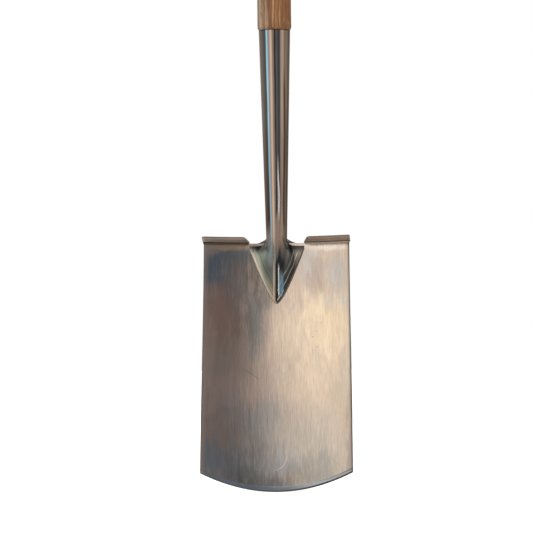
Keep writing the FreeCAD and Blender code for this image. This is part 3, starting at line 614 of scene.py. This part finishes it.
def build_blade():
    bm = bmesh.new()
    front, back = blade_net(-1), blade_net(1)
    front_bevel, back_bevel = [front[3], edge_row(-1)], [back[3], edge_row(1)]
    across, down, bevel_down, thin = steps(72), steps(110), steps(4), steps(1)

    def skin(net, us, vs, flip=False):
        grid_faces(bm, [[net_point(net, u, v) for u in us] for v in vs], flip)

    skin(front, across, down)
    skin(back, across, down, True)
    skin(front_bevel, across, bevel_down)
    skin(back_bevel, across, bevel_down, True)
    skin([front_bevel[1], back_bevel[1]], across, thin)
    skin([front[0], back[0]], across, thin, True)
    for c in (0, 2):
        skin([[row[c] for row in front], [row[c] for row in back]], down, thin, c == 0)
        skin([[row[c] for row in front_bevel], [row[c] for row in back_bevel]], bevel_down, thin, c == 0)
    return smooth_mesh(bm, "blade_body", sharp=12.0)


def ring(radius, z, open_seam):
    """Circle of points round the shaft's axis, open at the back where the seam is."""
    count = 96
    gap = math.asin(SEAM / 2 / radius) if open_seam else 0.0
    angles = [gap + (2 * math.pi - 2 * gap) * i / count for i in range(count + 1)]
    return [Vector((radius * math.sin(a), AXIS_Y + radius * math.cos(a), z)) / 1000.0 for a in angles]


def add_tube(bm):
    """The socket's round part: outside, rounded mouth, inside, and the seam's two walls."""
    heights = [RING_Z + (MOUTH_Z - LAST_RINGS[0] - RING_Z) * t for t in steps(60)]
    heights.append(MOUTH_Z - LAST_RINGS[1])
    closed = [z for z in heights if z <= SEAM_LOW] + [SEAM_LOW]
    opened = [SEAM_LOW] + [z for z in heights if z > SEAM_LOW]
    grid_faces(bm, [ring(cone_radius(z), z, False) for z in closed])
    rows = [(cone_radius(z), z) for z in opened]
    rows += [(MOUTH_R - inward, MOUTH_Z - down) for inward, down in MOUTH_RIM]
    rows += [(cone_radius(z) - SHEET, z) for z in reversed(opened)]
    wall = [ring(radius, z, True) for radius, z in rows]
    grid_faces(bm, wall)
    for end in (0, -1):
        grid_faces(bm, [[wall[k][end], wall[-1 - k][end]] for k in range(len(opened) + 1)], end == 0)


def add_foot(bm, spec):
    """A pressed foot: its skin in two halves, and the thickness along its outline and top."""
    net, fine = foot_net(**spec), steps(56)
    skin = [[net_point(net, u, v) for u in fine] for v in fine]
    inward = Vector((0, -spec["side"] * spec["sheet"] * FOOT_RIM / 1000.0, 0))
    for sign in (1, -1):
        half = [[Vector((p.x * sign, p.y, p.z)) for p in row] for row in skin]
        flip = (sign > 0) == (spec["side"] > 0)
        top = [row[-1] for row in half]
        grid_faces(bm, half, flip)
        grid_faces(bm, [half[0], [p + inward for p in half[0]]], not flip)
        grid_faces(bm, [top, [p + inward for p in top]], flip)


def add_web(bm, sign):
    """Thin web beside the neck that carries the blade's top edge up into it, on one side."""
    rows, thick = [], THICK_TOP / 2
    for t in steps(16):
        x = WEB_IN_X + WEB_REACH * t
        top = WEB_TOP_Z + WEB_RISE * (1.0 - t) ** WEB_CURVE
        middle, lean = AXIS_Y + curve_depth(x) * COS, SIN * (top - BLADE_TOP_Z)
        outline = [(-thick, WEB_LOW_Z), (lean - thick, top - WEB_ROUND), (lean - WEB_CROWN, top),
                   (lean + WEB_CROWN, top), (lean + thick, top - WEB_ROUND), (thick, WEB_LOW_Z)]
        rows.append([Vector((sign * x, middle + y, z)) / 1000.0 for y, z in outline])
    grid_faces(bm, rows, sign < 0)


def build_socket():
    """The tube, the two pressed feet and the webs, as one shell."""
    bm = bmesh.new()
    add_tube(bm)
    for spec in (FOOT, TONGUE):
        add_foot(bm, spec)
    for sign in (1, -1):
        add_web(bm, sign)
    return smooth_mesh(bm, "socket_body", sharp=20.0)


def in_scene(name, data):
    """New object in the scene that shows a mesh, lamp or camera."""
    obj = bpy.data.objects.new(name, data)
    bpy.context.scene.collection.objects.link(obj)
    return obj


def new_piece(name, mesh, material, replaces):
    """A piece of the spade that stands for some of its CAD nodes."""
    obj = in_scene(name, mesh)
    mesh.materials.append(material)
    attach(obj, "root")
    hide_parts(*replaces)


# ---- materials on everything --------------------------------------------------------
# painted shade: darker copies of the weld steel, for the weld in the left tread's crease and for the weld
# down the right of the foot
steel_crease_shade = plain_steel("crease_shade_steel", (0.26, 0.21, 0.17), 0.35, 0.50, 300, 0.3)
steel_shaded = plain_steel("shaded_weld_steel", (0.36, 0.36, 0.36), 0.24, 0.38, 300, 0.3)
by_slot = {"blade_steel": blade_steel(), "tread_steel": tread_steel(), "socket_steel": socket_steel(),
           "weld_steel": plain_steel("weld_steel", (0.70, 0.62, 0.54), 0.20, 0.34, 300, 0.3),
           "fastener_steel": plain_steel("fastener_steel", (0.56, 0.55, 0.53), 0.26, 0.40, 400, 0.2),
           "shaft_wood": ash("shaft_wood"), "grip_wood": ash("grip_wood", (0.97, 0.95, 0.92), True),
           "wedge_wood": ash("wedge_wood", (1.08, 1.06, 1.02))}
by_node = {"left_tread_weld": steel_crease_shade, "foot_weld_right": steel_shaded}
for part in frame["record"]["subparts"]:
    obj = nodes[part["node"]]
    obj.data.materials.clear()
    obj.data.materials.append(by_node.get(part["node"], by_slot[part["material_slot"]]))

new_piece("blade_body", build_blade(), by_slot["blade_steel"], ("blade",))
new_piece("socket_body", build_socket(), by_slot["socket_steel"], ("socket",))

# ---- floor --------------------------------------------------------------------------
FLOOR_REACH, FLOOR_GAP = 30.0, 0.0005           # in metres, as is everything from here on
bm = bmesh.new()
bmesh.ops.create_grid(bm, x_segments=2, y_segments=2, size=FLOOR_REACH)
floor_mesh = bpy.data.meshes.new("floor")
bm.to_mesh(floor_mesh)
bm.free()
floor = in_scene("floor", floor_mesh)
floor.location = (0.0, 0.0, cad_box[0].z - FLOOR_GAP)
pale = Material("floor_pale", 0.0)
pale.base = (0.92, 0.92, 0.92, 1.0)
reach = pale.add("ShaderNodeVectorMath", {0: pale.at}, operation="LENGTH").outputs["Value"]
floor_mesh.materials.append(pale.finish(Roughness=0.9, Emission_Color=(1.0, 1.0, 1.0, 1.0),
                                        Emission_Strength=pale.span(reach, 0.15, 1.1, 0.70, 0.97)))
floor.visible_glossy = False
floor.visible_diffuse = False

# ---- world --------------------------------------------------------------------------
# The studio round the spade is white to the camera. What the steel mirrors is a ring of soft
# upright bands at eye level, LOW, with a warm panel up to the left and shade up to the right,
# HIGH. Both are tones by compass direction; HEIGHT dims the upper one by its elevation.
LOW = [(-180, (0.30, 0.28, 0.26)), (-130, (0.26, 0.235, 0.21)), (-112, (0.22, 0.19, 0.165)),
       (-88, (0.14, 0.13, 0.115)), (-70, (0.10, 0.10, 0.095)), (-65, (0.42, 0.87, 1.14)),
       (-55, (0.50, 0.94, 1.22)), (-50, (0.44, 0.40, 0.43)), (-39, (0.42, 0.38, 0.36)),
       (-32, (0.92, 0.70, 0.54)), (-22, (0.86, 0.64, 0.48)), (-14, (0.36, 0.26, 0.21)),
       (-4, (0.32, 0.23, 0.17)), (0, (0.05, 0.04, 0.035)), (7, (0.045, 0.038, 0.03)),
       (12, (0.12, 0.15, 0.175)), (22, (0.12, 0.15, 0.17)), (27, (0.07, 0.07, 0.078)),
       (41, (0.09, 0.085, 0.085)), (49, (0.42, 0.32, 0.27)), (62, (0.62, 0.46, 0.35)),
       (74, (0.50, 0.37, 0.29)), (80, (0.26, 0.20, 0.17)), (106, (0.30, 0.24, 0.17)),
       (130, (0.13, 0.09, 0.07)), (180, (0.30, 0.28, 0.26))]
HIGH = [(-180, (0.66, 0.63, 0.60)), (-110, (0.62, 0.60, 0.58)), (-60, (0.84, 0.78, 0.71)),
        (-38, (0.95, 0.86, 0.75)), (-20, (1.20, 1.06, 0.86)), (-11, (1.45, 1.26, 0.99)),
        (-5, (1.25, 1.09, 0.92)), (-1.5, (1.02, 0.88, 0.76)), (2.5, (0.20, 0.175, 0.16)),
        (9, (0.19, 0.16, 0.145)), (16, (0.27, 0.235, 0.22)), (24, (0.34, 0.32, 0.31)),
        (36, (0.78, 0.74, 0.70)), (60, (0.80, 0.77, 0.74)),
        (90, (0.62, 0.60, 0.58)), (180, (0.66, 0.63, 0.60))]
HEIGHT = [(-90, 0.6), (8, 0.55), (16, 0.66), (21, 0.95), (24, 1.05), (27.5, 0.80), (33, 0.50), (50, 0.45),
          (90, 0.5)]
LOW_FULL, HIGH_FULL = math.radians(9), math.radians(15)         # elevations where one turns to the other
SHADE_STARTS, SHADE_FULL = math.radians(-12), math.radians(-28)
SHADE = (0.50, 0.475, 0.45)                                     # what the steel mirrors from below


def by_angle(graph, share, stops, low, high):
    """Tones round the studio, each at its angle in degrees between low and high."""
    return graph.ramp(share, [((angle - low) / (high - low), tone) for angle, tone in stops])


world = bpy.data.worlds.new("studio")
bpy.context.scene.world = world
world.use_nodes = True
sky = Graph(world.node_tree)
sky.nodes.clear()
direction = sky.add("ShaderNodeSeparateXYZ", {0: sky.add("ShaderNodeTexCoord").outputs["Generated"]}).outputs
compass = sky.math("ARCTAN2", direction[0], sky.times(direction[1], -1.0))
compass = sky.plus(sky.math("DIVIDE", compass, 2 * math.pi), 0.5)
rise = sky.math("ARCSINE", direction[2])
rise_share = sky.plus(sky.math("DIVIDE", rise, math.pi), 0.5)
dimming = by_angle(sky, rise_share, [(angle, grey(level)) for angle, level in HEIGHT], -90.0, 90.0)
upper = sky.mix(1.0, by_angle(sky, compass, HIGH, -180.0, 180.0), dimming, "MULTIPLY")
mirrored = sky.mix(sky.span(rise, LOW_FULL, HIGH_FULL, kind="SMOOTHSTEP"),
                   by_angle(sky, compass, LOW, -180.0, 180.0), upper)
mirrored = sky.mix(sky.span(rise, SHADE_STARTS, SHADE_FULL, kind="SMOOTHSTEP"), mirrored, SHADE)
studio = sky.add("ShaderNodeBackground", {0: mirrored, 1: 1.0}).outputs[0]
white = sky.add("ShaderNodeBackground", {0: (1.0, 1.0, 1.0, 1.0), 1: 1.0}).outputs[0]
to_camera = sky.add("ShaderNodeLightPath").outputs["Is Camera Ray"]
choice = sky.add("ShaderNodeMixShader", {0: to_camera, 1: studio, 2: white}).outputs[0]
sky.add("ShaderNodeOutputWorld", {0: choice})


# ---- lights and camera --------------------------------------------------------------
def bearing(azimuth, elevation):
    """Unit vector from the spade towards a compass direction; azimuth 0 is its front."""
    a, e = math.radians(azimuth), math.radians(elevation)
    return Vector((math.sin(a) * math.cos(e), -math.cos(a) * math.cos(e), math.sin(e)))


def right_of(backward):
    """Level vector to the right of a view, given the direction back towards its camera."""
    return Vector((0.0, 0.0, 1.0)).cross(backward).normalized()


HEAD = Vector((0.0, AXIS_Y / 1000.0 - 0.02, 0.26))      # the middle of what the lamps light
# Soft lamps for the wood; the steel mirrors the studio instead
# name, azimuth, elevation, distance, width and height, watts, colour
LAMPS = [("key", -38.0, 22.0, 2.6, (1.6, 2.2), 34.0, (1.0, 0.97, 0.93)),
         ("fill", 48.0, 12.0, 2.6, (1.6, 2.2), 27.0, (1.0, 0.95, 0.89)),
         ("back", 170.0, 30.0, 2.8, (2.0, 2.0), 24.0, (1.0, 0.98, 0.96))]
for name, azimuth, elevation, distance, size, energy, colour in LAMPS:
    light = bpy.data.lights.new(name, "AREA")
    light.shape = "RECTANGLE"
    light.size, light.size_y = size
    light.energy = energy
    light.color = colour
    lamp = in_scene(name, light)
    back = bearing(azimuth, elevation)
    lamp.location = HEAD + back * distance
    lamp.rotation_euler = back.to_track_quat("Z", "Y").to_euler()
    lamp.visible_glossy = False

# Camera: long lens, a touch to the right of the blade and below the treads. It aims beside the
# pivot, by small shares of the distance, which sets the spade's place in the frame.
SENSOR, LENS = 36.0, 182.63415                  # in millimetres
DISTANCE, AZIMUTH, ELEVATION, ROLL = 3.0, 2.9, -2.57, 0.62
PIVOT = Vector((0.0, AXIS_Y / 1000.0, 0.280))
AIM_RIGHT, AIM_UP = -0.0038746, -0.0110633
camera_data = bpy.data.cameras.new("camera")
camera_data.sensor_width = SENSOR
camera_data.lens = LENS
camera = in_scene("camera", camera_data)
back = bearing(AZIMUTH, ELEVATION)
right = right_of(back)
camera.location = PIVOT + back * DISTANCE
aim = PIVOT + (right * AIM_RIGHT + back.cross(right) * AIM_UP) * DISTANCE
backward = (camera.location - aim).normalized()
side = right_of(backward)
side.rotate(Quaternion(backward, -math.radians(ROLL)))
camera.rotation_mode = "QUATERNION"
camera.rotation_quaternion = Matrix((side, backward.cross(side), backward)).transposed().to_quaternion()
bpy.context.scene.camera = camera
bpy.context.scene.view_settings.view_transform = "Standard"
